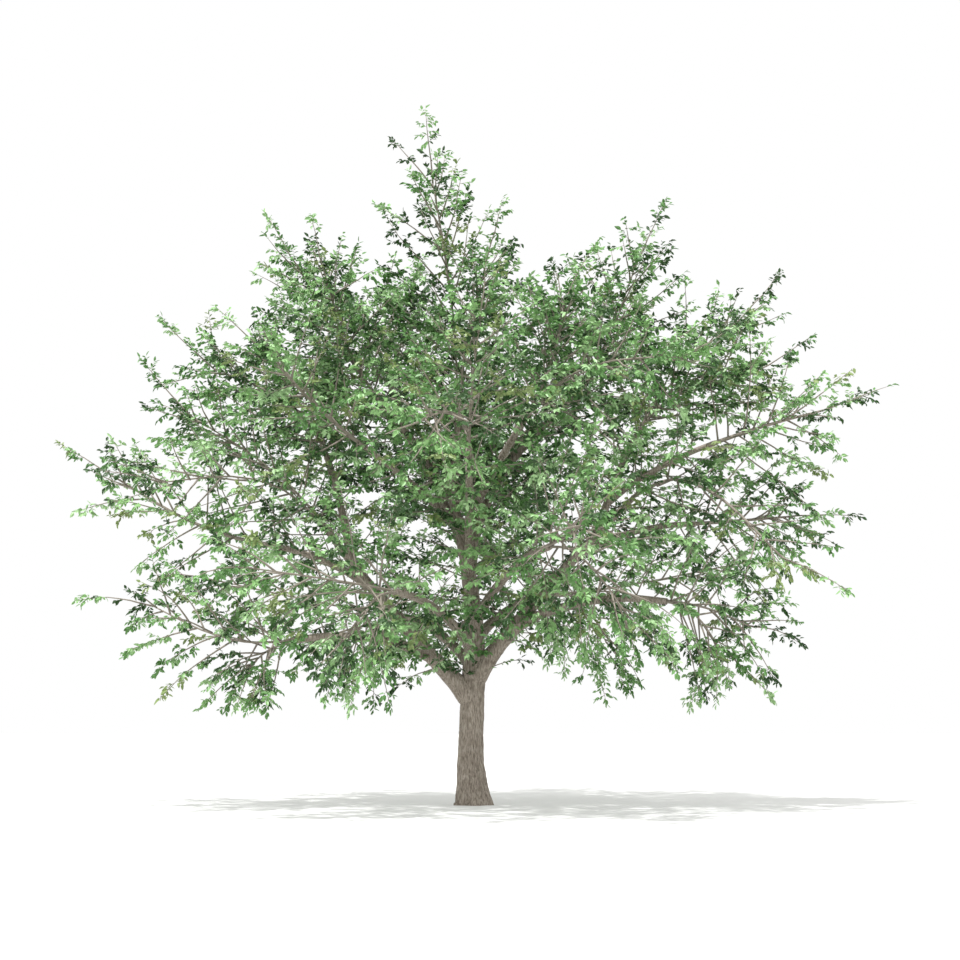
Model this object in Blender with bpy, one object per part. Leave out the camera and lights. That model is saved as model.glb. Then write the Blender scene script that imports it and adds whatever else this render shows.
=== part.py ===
"""A broad, open-grown beech tree: its trunk, its boughs and its masses of foliage.

Metres, +Z up, with the origin at the middle of the trunk's flat foot and -Y as the front."""

import math
import random
from collections import namedtuple

import bmesh
import bpy
from mathutils import Matrix, Vector
from mathutils.kdtree import KDTree

# Whole tree
CROWN_CENTRE = Vector((0.0, 0.0, 3.0))
LOWEST_LEAF = 1.1
SEED = "beech"
GAP = 0.0003
WELD = 1e-6

# Trunk: height, X, Y and radius, from the root flare to the tip inside the crown
TRUNK_AXIS = (
    (0.00, 0.000, 0.000, 0.250),
    (0.06, 0.000, 0.000, 0.232),
    (0.25, -0.015, 0.004, 0.200),
    (0.55, -0.030, 0.008, 0.170),
    (0.95, -0.025, 0.010, 0.156),
    (1.40, -0.005, 0.012, 0.152),
    (1.90, 0.015, 0.012, 0.140),
    (2.40, 0.005, 0.010, 0.118),
    (3.10, -0.080, 0.000, 0.090),
    (3.70, -0.215, -0.020, 0.070),
    (4.10, -0.270, -0.030, 0.058),
    (4.60, -0.200, -0.020, 0.047),
    (5.10, -0.190, 0.000, 0.042),
)
TRUNK_SIDES = 14

# Root flare: how high it reaches, and how far its lobes stand out as a share of the radius
FLARE_HEIGHT = 0.5
FLARE_DEPTH = 0.09
FLARE_LOBES = 5
FLARE_TURN = 0.6

# Boughs: where each leaves its parent, in metres along it, its bearing (0 is +X, 90 is +Y), its rise at its
# root and at its tip, in degrees, its length and its radius at the root
Bough = namedtuple("Bough", "name parent at bearing rise_root rise_tip length radius")
BOUGHS = (
    Bough("bough_left", "trunk", 1.36, 187, 44, 54, 2.95, 0.115),
    Bough("bough_left_low", "bough_left", 0.75, 197, 24, -14, 1.95, 0.060),
    Bough("bough_left_mid", "bough_left", 1.95, 172, 34, 8, 1.60, 0.050),
    Bough("bough_left_rise", "bough_left", 2.35, 140, 78, 66, 1.50, 0.050),
    Bough("bough_right", "trunk", 1.62, 353, 52, 44, 3.10, 0.110),
    Bough("bough_right_low", "bough_right", 0.85, 338, 26, -10, 2.10, 0.058),
    Bough("bough_right_out", "bough_right", 2.15, 12, 26, 2, 1.60, 0.048),
    Bough("bough_right_rise", "bough_right", 2.45, 30, 72, 56, 1.60, 0.047),
    Bough("bough_right_arm", "bough_right_rise", 0.45, 350, 38, 18, 1.60, 0.036),
    Bough("leader_right", "trunk", 3.10, 20, 78, 38, 2.40, 0.068),
    Bough("leader_left", "trunk", 3.95, 166, 56, 50, 1.80, 0.050),
    Bough("bough_left_front", "trunk", 3.60, 222, 34, 26, 1.80, 0.050),
    Bough("bough_front_left", "trunk", 1.95, 246, 32, 0, 2.45, 0.066),
    Bough("bough_front_right", "trunk", 2.30, 294, 38, 4, 2.45, 0.064),
    Bough("bough_front", "trunk", 2.85, 270, 54, 30, 2.35, 0.060),
    Bough("bough_front_rise", "trunk", 3.45, 310, 54, 42, 2.00, 0.054),
    Bough("bough_back_right", "trunk", 2.10, 56, 34, 0, 2.45, 0.066),
    Bough("bough_back_left", "trunk", 1.75, 122, 34, 2, 2.55, 0.066),
    Bough("bough_back", "trunk", 2.65, 88, 52, 32, 2.40, 0.060),
    Bough("bough_back_rise", "trunk", 3.40, 128, 56, 44, 2.10, 0.054),
    Bough("bough_back_rise_right", "leader_right", 0.65, 62, 50, 40, 1.70, 0.044),
)
BOUGH_TIP_RADIUS = 0.034
FORKED_TIP_RADIUS = 0.042
BOUGH_POINTS = 6
BOUGH_SIDES = 6
MAIN_BOUGH_SIDES = 8
MAIN_BOUGH_RADIUS = 0.1

# The masses at the tip of the trunk and of each bough: the bearing, elevation and distance of the mass's own
# furthest tip, seen from the crown's centre
MASSES = {
    "trunk": ((186, 84, 6.04), (300, 83, 4.75)),
    "bough_left": ((188, 30, 5.0), (210, 12, 5.2)),
    "bough_left_low": ((192, -25, 4.0), (187, -3, 4.95)),
    "bough_left_mid": ((177, 16, 5.65),),
    "bough_left_rise": ((173, 38, 5.3), (146, 42, 4.9)),
    "bough_right": ((335, -3, 4.9),),
    "bough_right_low": ((346, -22, 4.15), (4, -12, 4.4)),
    "bough_right_out": ((3, 9, 5.05),),
    "bough_right_rise": ((6, 44, 5.65), (350, 33, 5.2)),
    "bough_right_arm": ((359, 23.5, 5.85),),
    "leader_right": ((4, 62, 5.5), (44, 50, 5.2)),
    "leader_left": ((178, 60, 5.45), (216, 58, 4.9)),
    "bough_left_front": ((228, 33, 5.1),),
    "bough_front_left": ((246, -17, 4.5), (230, -1, 5.0)),
    "bough_front_right": ((302, -16, 4.5), (286, 4, 5.1)),
    "bough_front": ((261, 16, 5.2), (272, 38, 5.2)),
    "bough_front_rise": ((313, 29, 5.2), (322, 66, 4.5)),
    "bough_back_right": ((58, -16, 4.5), (32, 4, 5.1)),
    "bough_back_left": ((122, -17, 4.5), (150, 2, 5.1)),
    "bough_back": ((80, 14, 5.2), (94, 36, 5.2)),
    "bough_back_rise": ((127, 24, 5.2), (112, 62, 5.0)),
    "bough_back_rise_right": ((56, 24, 5.2),),
}

# Each mass: one stem, twigs round it by the golden angle, and blades that each stand for a spray of leaves.
# Lengths are metres and angles degrees, and shares are of the stem's length, radius or taper.
STEM_POINTS = 5
STEM_SIDES = 4
STEM_START = 0.06
STEM_SWEEP = 0.4
STEM_OFFSET = 0.5
STEM_FILL = 0.9
STEM_TAPER = 0.6
STEM_END = 0.40
STEM_SINK = 0.10
TWIGS = 7
TWIG_SIDES = 3
TWIG_LENGTH = 1.30
TWIG_FIRST = 0.12
TWIG_LAST = 0.94
TWIG_ROOT_ANGLE = 66
TWIG_TIP_ANGLE = 38
TWIG_ANGLE_SPREAD = 8
TWIG_SHORTENING = 0.5
TWIG_LENGTH_SPREAD = 0.12
TWIG_THICKNESS = 0.7
TWIG_TIP_RADIUS = 0.008
TWIG_SHORTER = (1.0, 0.75, 0.55)
TWIG_TRIES = 4
TWIG_DROOP = 0.22
TWIG_FORKS = (0.66, 0.38)
GOLDEN_ANGLE = 137.5
ROLL_SPREAD = 22
BLADE_LENGTH = 0.90
BLADE_WIDTH = 0.46
BLADE_THICKNESS = 0.036
BLADE_WIDEST = 0.45
BLADE_SINK = 0.3
BLADE_TILT = 1.5
SIDE_BLADE_ANGLE = 62

# The space that each mass keeps to, and the clearances in it
SAMPLE_SPACING = 0.05
BLADE_STEPS_ALONG = 9
BLADE_STEPS_ACROSS = (-1.0, -0.5, 0.0, 0.5, 1.0)
CELL_MARGIN = 0.035
LIMB_CLEARANCE = 0.05
SPRAY_CLEARANCE = 0.065
CROWDED_ROOT = 0.35

# Finishes
BARK_COLOUR = (0.255, 0.235, 0.195)
LEAF_COLOUR = (0.095, 0.155, 0.065)
BARK_ROUGHNESS = 0.85
LEAF_ROUGHNESS = 0.55
SMOOTH_ANGLE = 50


def direction(bearing, rise):
    """The unit vector with this bearing and rise, in degrees."""
    around, up = math.radians(bearing), math.radians(rise)
    return Vector((math.cos(around) * math.cos(up), math.sin(around) * math.cos(up), math.sin(up)))


def bezier(start, middle, end, share):
    return start.lerp(middle, share).lerp(middle.lerp(end, share), share)


class Limb:
    """A round, tapering limb: points along its axis, the radius at each, and how many sides it has."""

    def __init__(self, name, points, radii, sides):
        self.name = name
        self.points = points
        self.radii = radii
        self.sides = sides

    def length(self):
        return sum((b - a).length for a, b in zip(self.points, self.points[1:]))

    def at(self, distance):
        """The point this far along the axis, and the heading there."""
        for a, b in zip(self.points, self.points[1:]):
            step = (b - a).length
            if distance <= step:
                return a.lerp(b, distance / step), (b - a).normalized()
            distance -= step
        return self.points[-1].copy(), self.tip_heading()

    def tip_heading(self):
        return (self.points[-1] - self.points[-2]).normalized()

    def samples(self):
        """Places along the axis at an even spacing, each with the radius there."""
        for a, b, first, last in zip(self.points, self.points[1:], self.radii, self.radii[1:]):
            count = math.ceil((b - a).length / SAMPLE_SPACING)
            for i in range(count + 1):
                yield a.lerp(b, i / count), first + (last - first) * i / count


def trunk_limb():
    points = [Vector((x, y, z)) for z, x, y, _ in TRUNK_AXIS]
    return Limb("trunk", points, [radius for _, _, _, radius in TRUNK_AXIS], TRUNK_SIDES)


def bough_limb(bough, parent):
    """A bough from its parent's axis outwards. Its rise turns evenly from root to tip."""
    point, _ = parent.at(bough.at)
    points, radii = [point], [bough.radius]
    steps = BOUGH_POINTS - 1
    tip_radius = FORKED_TIP_RADIUS if len(MASSES[bough.name]) > 1 else BOUGH_TIP_RADIUS
    for i in range(steps):
        rise = bough.rise_root + (bough.rise_tip - bough.rise_root) * (i + 0.5) / steps
        point = point + direction(bough.bearing, rise) * (bough.length / steps)
        points.append(point)
        radii.append(bough.radius + (tip_radius - bough.radius) * (i + 1) / steps)
    sides = MAIN_BOUGH_SIDES if bough.radius >= MAIN_BOUGH_RADIUS else BOUGH_SIDES
    return Limb(bough.name, points, radii, sides)


def all_limbs():
    limbs = {"trunk": trunk_limb()}
    for bough in BOUGHS:
        limbs[bough.name] = bough_limb(bough, limbs[bough.parent])
    return limbs


def mass_stem(name, limb, aims, index):
    """The stem of one of the masses at a limb's tip. Two stems stand side by side there, and then part."""
    heading = limb.tip_heading()
    start = limb.points[-1] + heading * GAP
    ends = [CROWN_CENTRE + direction(bearing, rise) * reach for bearing, rise, reach in aims]
    width = limb.radii[-1] * STEM_FILL
    if len(aims) > 1:
        aside = ends[index] - sum(ends, Vector()) / len(ends)
        aside -= heading * aside.dot(heading)
        start = start + aside.normalized() * limb.radii[-1] * STEM_OFFSET
        width *= STEM_OFFSET
    turn = start + heading * STEM_START
    overhang = STEM_END + BLADE_LENGTH * (1 - BLADE_WIDEST)
    end = ends[index] - (ends[index] - start).normalized() * overhang
    middle = turn + heading * (end - turn).length * STEM_SWEEP
    steps = STEM_POINTS - 1
    points = [start] + [bezier(turn, middle, end, i / (steps - 1)) for i in range(steps)]
    radii = [width * (1 + (STEM_TAPER - 1) * i / steps) for i in range(STEM_POINTS)]
    return Limb(name, points, radii, STEM_SIDES)


def all_stems(limbs):
    stems = []
    for owner, aims in MASSES.items():
        place = owner.replace("bough_", "").replace("trunk", "top")
        for index in range(len(aims)):
            stems.append(mass_stem(f"foliage_{place}_{'ab'[index]}", limbs[owner], aims, index))
    return stems


def point_tree(points):
    tree = KDTree(len(points))
    for i, point in enumerate(points):
        tree.insert(point, i)
    tree.balance()
    return tree


class Space:
    """Whose space each place in the crown is: that of the nearest stem, clear of every limb."""

    def __init__(self, limbs, stems):
        limb_places = [place for limb in limbs for place in limb.samples()]
        stem_places = [(point, index) for index, stem in enumerate(stems) for point, _ in stem.samples()]
        self.limb_tree = point_tree([point for point, _ in limb_places])
        self.stem_tree = point_tree([point for point, _ in stem_places])
        self.limb_radii = [radius for _, radius in limb_places]
        self.owners = [index for _, index in stem_places]
        self.furthest = max(self.limb_radii) + LIMB_CLEARANCE

    def is_own(self, point, index):
        if point.z < LOWEST_LEAF:
            return False
        for _, place, distance in self.limb_tree.find_range(point, self.furthest):
            if distance < self.limb_radii[place] + LIMB_CLEARANCE:
                return False
        _, _, nearest = self.stem_tree.find(point)
        near = self.stem_tree.find_range(point, nearest + CELL_MARGIN)
        return all(self.owners[place] == index for _, place, _ in near)


class Room:
    """The space of one mass, and the sprays that already stand in it."""

    def __init__(self, space, index):
        self.space = space
        self.index = index
        self.points = []
        self.taken = point_tree(self.points)

    def is_free(self, point):
        return self.space.is_own(point, self.index) and not self.taken.find_range(point, SPRAY_CLEARANCE)

    def takes_twig(self, twig):
        """Whether a twig and the blade at its end have room."""
        end = twig.points[-1] + twig.tip_heading() * BLADE_LENGTH * (1 - BLADE_WIDEST)
        own = all(self.space.is_own(point, self.index) for point, _ in twig.samples())
        return own and self.is_free(end) and all(self.is_free(point) for point in outer_samples(twig))

    def takes_blade(self, frame):
        return all(self.is_free(point) for point in blade_samples(frame))

    def settle(self, points):
        self.points += points
        self.taken = point_tree(self.points)


def outer_samples(twig):
    """Places along a twig past its root, which stands among other roots."""
    root = twig.length() * CROWDED_ROOT
    return [point for point, _ in twig.samples() if (point - twig.points[0]).length > root]


def twig_choices(stem):
    """The twigs of a mass, by its own seed: some round its stem by the golden angle, and one that ends it.

    Each twig is given as its choices, best first: further round the stem, and then shorter."""
    draw = random.Random(SEED + stem.name)
    roll = draw.uniform(0, 360)
    for i in range(TWIGS):
        share = TWIG_FIRST + (TWIG_LAST - TWIG_FIRST) * i / (TWIGS - 1)
        roll += GOLDEN_ANGLE + draw.uniform(-ROLL_SPREAD, ROLL_SPREAD)
        angle = TWIG_ROOT_ANGLE + (TWIG_TIP_ANGLE - TWIG_ROOT_ANGLE) * share
        angle = math.radians(angle + draw.uniform(-TWIG_ANGLE_SPREAD, TWIG_ANGLE_SPREAD))
        spread = draw.uniform(1 - TWIG_LENGTH_SPREAD, 1 + TWIG_LENGTH_SPREAD)
        reach = TWIG_LENGTH * (1 - TWIG_SHORTENING * share) * spread
        radius = stem.radii[0] * (1 + (STEM_TAPER - 1) * share) * TWIG_THICKNESS
        root, heading = stem.at(stem.length() * share)
        turns = [roll + GOLDEN_ANGLE * turn for turn in range(TWIG_TRIES)]
        yield [
            twig_limb(root, side_heading(heading, angle, turn) * reach * shorter, radius)
            for shorter in TWIG_SHORTER
            for turn in turns
        ]
    end, heading = stem.at(stem.length() - STEM_SINK)
    yield [twig_limb(end, heading * (STEM_SINK + STEM_END), stem.radii[-1] * TWIG_THICKNESS)]


def side_heading(heading, angle, turn):
    """The heading of a twig that leaves a stem at this angle and this turn round it, and droops a little."""
    side = heading.orthogonal().normalized()
    side.rotate(Matrix.Rotation(math.radians(turn), 3, heading))
    away = heading * math.cos(angle) + side * math.sin(angle)
    return (away - Vector((0, 0, TWIG_DROOP))).normalized()


def twig_limb(root, reach, radius):
    return Limb("twig", [root, root + reach], [radius, min(radius, TWIG_TIP_RADIUS)], TWIG_SIDES)


def blade_frames(twig, draw):
    """The blades of a twig as matrices: one that holds the twig's tip at its widest, and one a side."""
    root, tip = twig.points
    heading = twig.tip_heading()
    up = Vector((draw.uniform(-BLADE_TILT, BLADE_TILT), draw.uniform(-BLADE_TILT, BLADE_TILT), 1.0))
    yield blade_frame(tip - heading * BLADE_LENGTH * BLADE_WIDEST, heading, up)
    sink = (twig.radii[0] + twig.radii[1]) / 2 * BLADE_SINK
    angle = math.radians(SIDE_BLADE_ANGLE)
    for fork, way in zip(TWIG_FORKS, (1, -1)):
        side = heading.cross(up).normalized() * way
        aside = heading * math.cos(angle) + side * math.sin(angle)
        yield blade_frame(root.lerp(tip, fork) - aside * sink, aside, up)


def blade_frame(base, heading, up):
    side = up.cross(heading).normalized()
    face = heading.cross(side)
    turn = Matrix((heading, side, face)).transposed().to_4x4()
    return Matrix.Translation(base) @ turn


def blade_samples(frame):
    """Places over a blade, from rib to edge, that show whether it keeps to its space."""
    for i in range(1, BLADE_STEPS_ALONG + 1):
        share = i / BLADE_STEPS_ALONG
        half = BLADE_WIDTH / 2 * min(share / BLADE_WIDEST, (1 - share) / (1 - BLADE_WIDEST))
        for across in BLADE_STEPS_ACROSS:
            yield frame @ Vector((BLADE_LENGTH * share, half * across, 0.0))


def blade_mesh():
    """A pointed blade along +X from the origin: a coarse sphere drawn out, widest before its middle."""
    form = bmesh.new()
    bmesh.ops.create_uvsphere(form, u_segments=4, v_segments=2, radius=1.0)
    for vertex in form.verts:
        x, y, z = vertex.co
        along = (x + 1) / 2 if abs(x) > 0.5 else BLADE_WIDEST
        vertex.co = (BLADE_LENGTH * along, BLADE_WIDTH / 2 * y, BLADE_THICKNESS / 2 * z)
    mesh = bpy.data.meshes.new("blade")
    form.to_mesh(mesh)
    form.free()
    return mesh


def colour_material(name, colour, roughness):
    material = bpy.data.materials.new(name)
    material.use_nodes = True
    shader = material.node_tree.nodes["Principled BSDF"]
    shader.inputs["Base Color"].default_value = (*colour, 1.0)
    shader.inputs["Roughness"].default_value = roughness
    shader.inputs["Metallic"].default_value = 0.0
    return material


def ring_profile(sides, collection):
    """A closed outline of this many sides and radius 1, which a tube's curve carries along."""
    curve = bpy.data.curves.new(f"ring_{sides}", "CURVE")
    curve.dimensions = "2D"
    spline = curve.splines.new("POLY")
    spline.points.add(sides - 1)
    for i, point in enumerate(spline.points):
        angle = 2 * math.pi * i / sides
        point.co = (math.cos(angle), math.sin(angle), 0.0, 1.0)
    spline.use_cyclic_u = True
    ring = bpy.data.objects.new(curve.name, curve)
    ring.hide_render = True
    ring.display_type = "WIRE"
    collection.objects.link(ring)
    return ring


class Workshop:
    """The tree's collection, the collection of cutters, guides and rings, and the two finishes."""

    def __init__(self):
        self.tree = bpy.data.collections.new("beech_tree")
        self.cutters = bpy.data.collections.new("cutters")
        self.pieces = bpy.data.collections.new("mass_pieces")
        for collection in (self.tree, self.cutters, self.pieces):
            bpy.context.scene.collection.children.link(collection)
        counts = (TRUNK_SIDES, MAIN_BOUGH_SIDES, BOUGH_SIDES, STEM_SIDES, TWIG_SIDES)
        self.rings = {sides: ring_profile(sides, self.cutters) for sides in set(counts)}
        self.bark = colour_material("bark", BARK_COLOUR, BARK_ROUGHNESS)
        self.leaf = colour_material("leaf", LEAF_COLOUR, LEAF_ROUGHNESS)
        self.blade = blade_mesh()

    def tube(self, limb, collection, grown=0.0):
        """A limb as a closed mesh object, its flat faces moved out a little if it is to cut another."""
        curve = bpy.data.curves.new(limb.name, "CURVE")
        curve.dimensions = "3D"
        curve.bevel_mode = "OBJECT"
        curve.bevel_object = self.rings[limb.sides]
        curve.use_fill_caps = True
        spline = curve.splines.new("POLY")
        spline.points.add(len(limb.points) - 1)
        for place, point, radius in zip(spline.points, limb.points, limb.radii):
            place.co = (*point, 1.0)
            place.radius = radius + grown / math.cos(math.pi / limb.sides)
        guide = bpy.data.objects.new(limb.name, curve)
        self.cutters.objects.link(guide)
        graph = bpy.context.evaluated_depsgraph_get()
        mesh = bpy.data.meshes.new_from_object(guide.evaluated_get(graph))
        place = guide.matrix_world.copy()
        bpy.data.objects.remove(guide)
        form = bmesh.new()
        form.from_mesh(mesh)
        bmesh.ops.remove_doubles(form, verts=form.verts, dist=WELD)
        bmesh.ops.recalc_face_normals(form, faces=form.faces)
        form.to_mesh(mesh)
        form.free()
        mesh.materials.clear()
        solid = bpy.data.objects.new(limb.name, mesh)
        solid.matrix_world = place
        collection.objects.link(solid)
        return solid


def shade_round(solid):
    solid.data.shade_smooth()
    solid.data.set_sharp_from_angle(angle=math.radians(SMOOTH_ANGLE))


def build_trunk(limb, shop):
    solid = shop.tube(limb, shop.tree)
    for vertex in solid.data.vertices:
        vertex.co = flared(vertex.co)
    solid.data.materials.append(shop.bark)
    shade_round(solid)


def flared(point):
    """A point of the trunk's foot, moved out or in so that the flare has a lobe to each main root."""
    if point.z >= FLARE_HEIGHT:
        return point
    around = math.atan2(point.y, point.x)
    depth = FLARE_DEPTH * (1 - point.z / FLARE_HEIGHT) ** 2
    scale = 1 + depth * math.cos(FLARE_LOBES * around + FLARE_TURN)
    return Vector((point.x * scale, point.y * scale, point.z))


def build_bough(limb, parent, shop):
    """A bough, cut off at its root 0.3 mm short of its parent."""
    solid = shop.tube(limb, shop.tree)
    cutter = shop.tube(parent, shop.cutters, grown=GAP)
    cutter.name = "cutter_" + limb.name
    cut = solid.modifiers.new("root", "BOOLEAN")
    cut.operation = "DIFFERENCE"
    cut.solver = "EXACT"
    cut.object = cutter
    apply_modifiers(solid)
    bpy.data.objects.remove(cutter)
    solid.data.materials.append(shop.bark)
    shade_round(solid)


def apply_modifiers(solid):
    graph = bpy.context.evaluated_depsgraph_get()
    mesh = bpy.data.meshes.new_from_object(solid.evaluated_get(graph))
    solid.modifiers.clear()
    solid.data = mesh
    mesh.materials.clear()


def build_mass(stem, room, shop):
    """A mass: its stem with every twig and blade that finds room, joined into one solid."""
    draw = random.Random(SEED + "blades" + stem.name)
    solid = shop.tube(stem, shop.tree)
    for choices in twig_choices(stem):
        twig = next((choice for choice in choices if room.takes_twig(choice)), None)
        if twig is None:
            continue
        shop.tube(twig, shop.pieces)
        frames = [frame for frame in blade_frames(twig, draw) if room.takes_blade(frame)]
        for frame in frames:
            blade = bpy.data.objects.new("blade", shop.blade)
            blade.matrix_world = frame
            shop.pieces.objects.link(blade)
        room.settle(outer_samples(twig) + [point for frame in frames for point in blade_samples(frame)])
    join = solid.modifiers.new("join", "BOOLEAN")
    join.operation = "UNION"
    join.solver = "EXACT"
    join.operand_type = "COLLECTION"
    join.collection = shop.pieces
    apply_modifiers(solid)
    for piece in list(shop.pieces.objects):
        bpy.data.objects.remove(piece)
    solid.data.materials.append(shop.leaf)


def main():
    for item in list(bpy.data.objects):
        bpy.data.objects.remove(item)
    shop = Workshop()
    limbs = all_limbs()
    stems = all_stems(limbs)
    space = Space(list(limbs.values()), stems)
    build_trunk(limbs["trunk"], shop)
    for bough in BOUGHS:
        build_bough(limbs[bough.name], limbs[bough.parent], shop)
    for index, stem in enumerate(stems):
        build_mass(stem, Room(space, index), shop)
    bpy.data.collections.remove(shop.pieces)


if __name__ == "__main__":
    main()
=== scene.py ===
"""A beech tree in leaf on a pale studio floor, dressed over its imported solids.

Lengths are in metres and angles in degrees, unless a comment says otherwise.
"""

from __future__ import annotations

import logging
import math
import random
from dataclasses import dataclass, field
from enum import Enum

import bmesh
import bpy
import numpy as np
from mathutils import Euler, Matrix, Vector, noise


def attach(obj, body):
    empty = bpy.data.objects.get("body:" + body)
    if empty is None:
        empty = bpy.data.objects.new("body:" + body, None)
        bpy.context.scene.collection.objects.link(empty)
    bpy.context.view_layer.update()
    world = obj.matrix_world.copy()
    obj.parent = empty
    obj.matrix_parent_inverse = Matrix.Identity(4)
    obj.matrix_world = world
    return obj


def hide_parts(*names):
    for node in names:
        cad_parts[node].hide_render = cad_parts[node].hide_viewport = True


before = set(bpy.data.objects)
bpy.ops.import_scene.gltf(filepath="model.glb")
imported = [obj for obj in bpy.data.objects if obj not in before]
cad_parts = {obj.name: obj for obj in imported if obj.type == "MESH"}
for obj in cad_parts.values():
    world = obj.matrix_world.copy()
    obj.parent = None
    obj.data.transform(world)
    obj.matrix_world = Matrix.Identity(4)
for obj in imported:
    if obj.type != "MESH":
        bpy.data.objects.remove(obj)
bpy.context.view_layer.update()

log = logging.getLogger("beech")

# The crown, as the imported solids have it
CROWN_CENTRE = Vector((0.0, 0.0, 3.0))
LOWEST_LEAF = 1.15
SEED = "beech"

# The trunk's axis: height, place across, place in depth and radius
TRUNK_AXIS = (
    (0.00, 0.000, 0.000, 0.250),
    (0.06, 0.000, 0.000, 0.232),
    (0.25, -0.015, 0.004, 0.200),
    (0.55, -0.030, 0.008, 0.170),
    (0.95, -0.025, 0.010, 0.156),
    (1.40, -0.005, 0.012, 0.152),
    (1.90, 0.015, 0.012, 0.140),
    (2.40, 0.005, 0.010, 0.118),
    (3.10, -0.080, 0.000, 0.090),
    (3.70, -0.215, -0.020, 0.070),
    (4.10, -0.270, -0.030, 0.058),
    (4.60, -0.200, -0.020, 0.047),
    (5.10, -0.190, 0.000, 0.042),
)

# The lobes of the root flare, with their turn in radians
FLARE_HEIGHT = 0.5
FLARE_DEPTH = 0.09
FLARE_LOBES = 5
FLARE_TURN = 0.6

# Boughs: parent, place along it, bearing, rise at root and tip, length and root radius
BOUGHS = {
    "bough_left": ("trunk", 1.36, 187, 44, 54, 2.95, 0.115),
    "bough_left_low": ("bough_left", 0.75, 197, 24, -14, 1.95, 0.060),
    "bough_left_mid": ("bough_left", 1.95, 172, 34, 8, 1.60, 0.050),
    "bough_left_rise": ("bough_left", 2.35, 140, 78, 66, 1.50, 0.050),
    "bough_right": ("trunk", 1.62, 353, 52, 44, 3.10, 0.110),
    "bough_right_low": ("bough_right", 0.85, 338, 26, -10, 2.10, 0.058),
    "bough_right_out": ("bough_right", 2.15, 12, 26, 2, 1.60, 0.048),
    "bough_right_rise": ("bough_right", 2.45, 30, 72, 56, 1.60, 0.047),
    "bough_right_arm": ("bough_right_rise", 0.45, 350, 38, 18, 1.60, 0.036),
    "leader_right": ("trunk", 3.10, 20, 78, 38, 2.40, 0.068),
    "leader_left": ("trunk", 3.95, 166, 56, 50, 1.80, 0.050),
    "bough_left_front": ("trunk", 3.60, 222, 34, 26, 1.80, 0.050),
    "bough_front_left": ("trunk", 1.95, 246, 32, 0, 2.45, 0.066),
    "bough_front_right": ("trunk", 2.30, 294, 38, 4, 2.45, 0.064),
    "bough_front": ("trunk", 2.85, 270, 54, 30, 2.35, 0.060),
    "bough_front_rise": ("trunk", 3.45, 310, 54, 42, 2.00, 0.054),
    "bough_back_right": ("trunk", 2.10, 56, 34, 0, 2.45, 0.066),
    "bough_back_left": ("trunk", 1.75, 122, 34, 2, 2.55, 0.066),
    "bough_back": ("trunk", 2.65, 88, 52, 32, 2.40, 0.060),
    "bough_back_rise": ("trunk", 3.40, 128, 56, 44, 2.10, 0.054),
    "bough_back_rise_right": ("leader_right", 0.65, 62, 50, 40, 1.70, 0.044),
}
BOUGH_STEPS = 5
BOUGH_TIP_RADIUS = 0.034
FORKED_TIP_RADIUS = 0.042

# The masses at each limb's tip: bearing, elevation and distance of the furthest tip from the crown's centre
MASSES = {
    "trunk": ((186, 84, 6.04), (300, 83, 4.75)),
    "bough_left": ((188, 30, 5.0), (210, 12, 5.2)),
    "bough_left_low": ((192, -25, 4.0), (187, -3, 4.95)),
    "bough_left_mid": ((177, 16, 5.65),),
    "bough_left_rise": ((173, 38, 5.3), (146, 42, 4.9)),
    "bough_right": ((335, -3, 4.9),),
    "bough_right_low": ((346, -22, 4.15), (4, -12, 4.4)),
    "bough_right_out": ((3, 9, 5.05),),
    "bough_right_rise": ((6, 44, 5.65), (350, 33, 5.2)),
    "bough_right_arm": ((359, 23.5, 5.85),),
    "leader_right": ((4, 62, 5.5), (44, 50, 5.2)),
    "leader_left": ((178, 60, 5.45), (216, 58, 4.9)),
    "bough_left_front": ((228, 33, 5.1),),
    "bough_front_left": ((246, -17, 4.5), (230, -1, 5.0)),
    "bough_front_right": ((302, -16, 4.5), (286, 4, 5.1)),
    "bough_front": ((261, 16, 5.2), (272, 38, 5.2)),
    "bough_front_rise": ((313, 29, 5.2), (322, 66, 4.5)),
    "bough_back_right": ((58, -16, 4.5), (32, 4, 5.1)),
    "bough_back_left": ((122, -17, 4.5), (150, 2, 5.1)),
    "bough_back": ((80, 14, 5.2), (94, 36, 5.2)),
    "bough_back_rise": ((127, 24, 5.2), (112, 62, 5.0)),
    "bough_back_rise_right": ((56, 24, 5.2),),
}

# Stems of the masses: places and sizes in metres, or as shares of the limb's tip radius or of the stem
STEM_POINTS = 5
STEM_START = 0.06
STEM_SWEEP = 0.4
STEM_OFFSET = 0.5
STEM_FILL = 0.9
STEM_TAPER = 0.45
STEM_OVERHANG = 0.895

UP = Vector((0.0, 0.0, 1.0))
EAST = Vector((1.0, 0.0, 0.0))
NORTH = Vector((0.0, 1.0, 0.0))

# The most that a heading may lie along one direction before it is crossed with another
NEARLY_ALONG = 0.9
NEARLY_UPRIGHT = 0.95

GOLDEN_ANGLE = 137.5
FULL_TURN = 360

WHITE = (1.0, 1.0, 1.0, 1.0)

# Sockets of a Mix node that mixes colours
MIX_FACTOR = 0
MIX_FIRST = 6
MIX_SECOND = 7
MIX_RESULT = 2


def direction(bearing: float, rise: float) -> Vector:
    """The unit vector with this bearing and rise, in degrees."""
    around, up = math.radians(bearing), math.radians(rise)
    return Vector((math.cos(around) * math.cos(up), math.sin(around) * math.cos(up), math.sin(up)))


def bezier(start: Vector, middle: Vector, end: Vector, share: float) -> Vector:
    """A point of the quadratic curve from start to end."""
    return start.lerp(middle, share).lerp(middle.lerp(end, share), share)


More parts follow.
